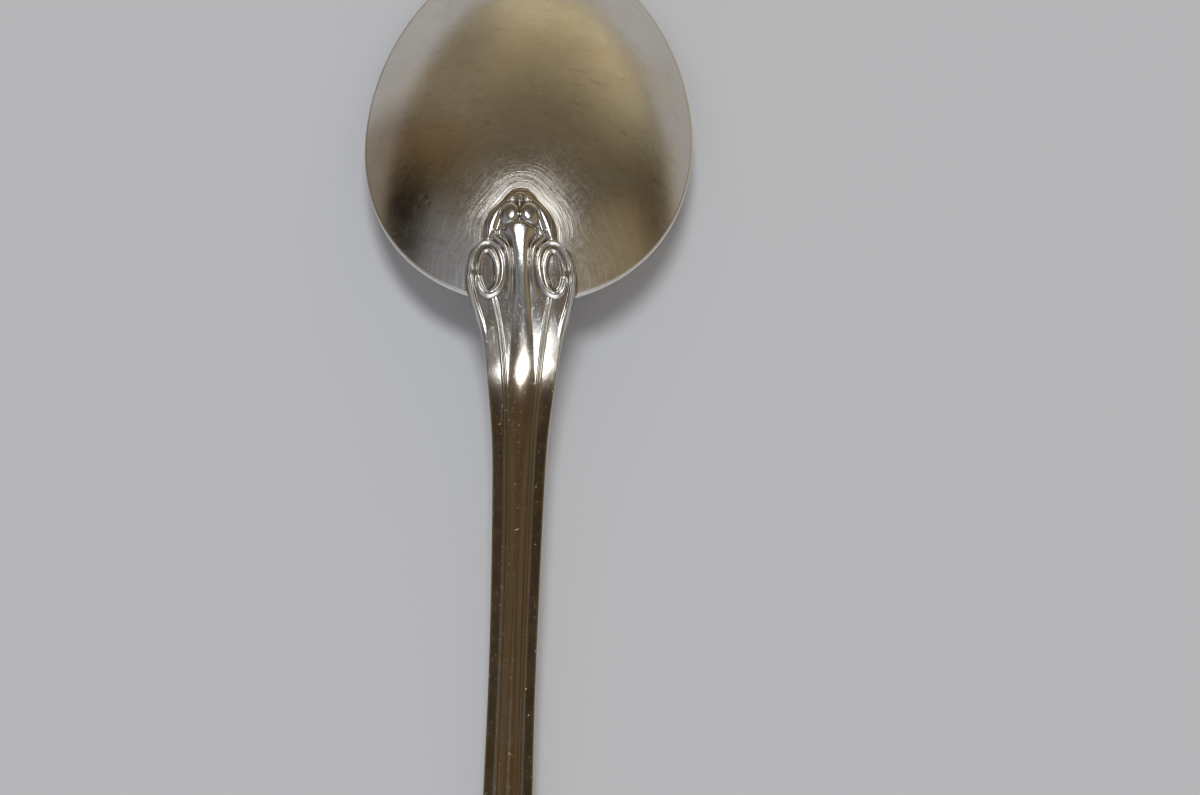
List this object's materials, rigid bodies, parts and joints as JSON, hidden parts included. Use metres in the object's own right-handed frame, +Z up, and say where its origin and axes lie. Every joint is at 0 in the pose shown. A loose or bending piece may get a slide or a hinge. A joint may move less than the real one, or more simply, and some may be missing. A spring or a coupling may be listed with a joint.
{
  "type": "bar spoon",
  "caption": "Long-handled bar spoon with an egg-shaped bowl, a fluted stem and a scrolled heel lapped over the back of the bowl, for stirring and measuring drinks.",
  "frame": {"origin": "on the surface that the spoon rests on, under the middle of its length and width", "axes": "+Y towards the toe of the bowl, +X across the spoon, +Z up; the spoon lies face down with the back of its bowl up"},
  "size_m": [0.0316, 0.197, 0.0128],
  "materials": {
    "bowl_plate": "worn silver plate, brushed and scratched, with tarnish near the heel",
    "handle_plate": "worn silver plate, polished on the ridges and tarnished brown in the hollows",
    "solder": "dull silver solder with brown tarnish"
  },
  "bodies": {
    "root": {"bowl": "bowl_plate", "handle": "handle_plate", "solder_seam": "solder"}
  },
  "joints": []
}
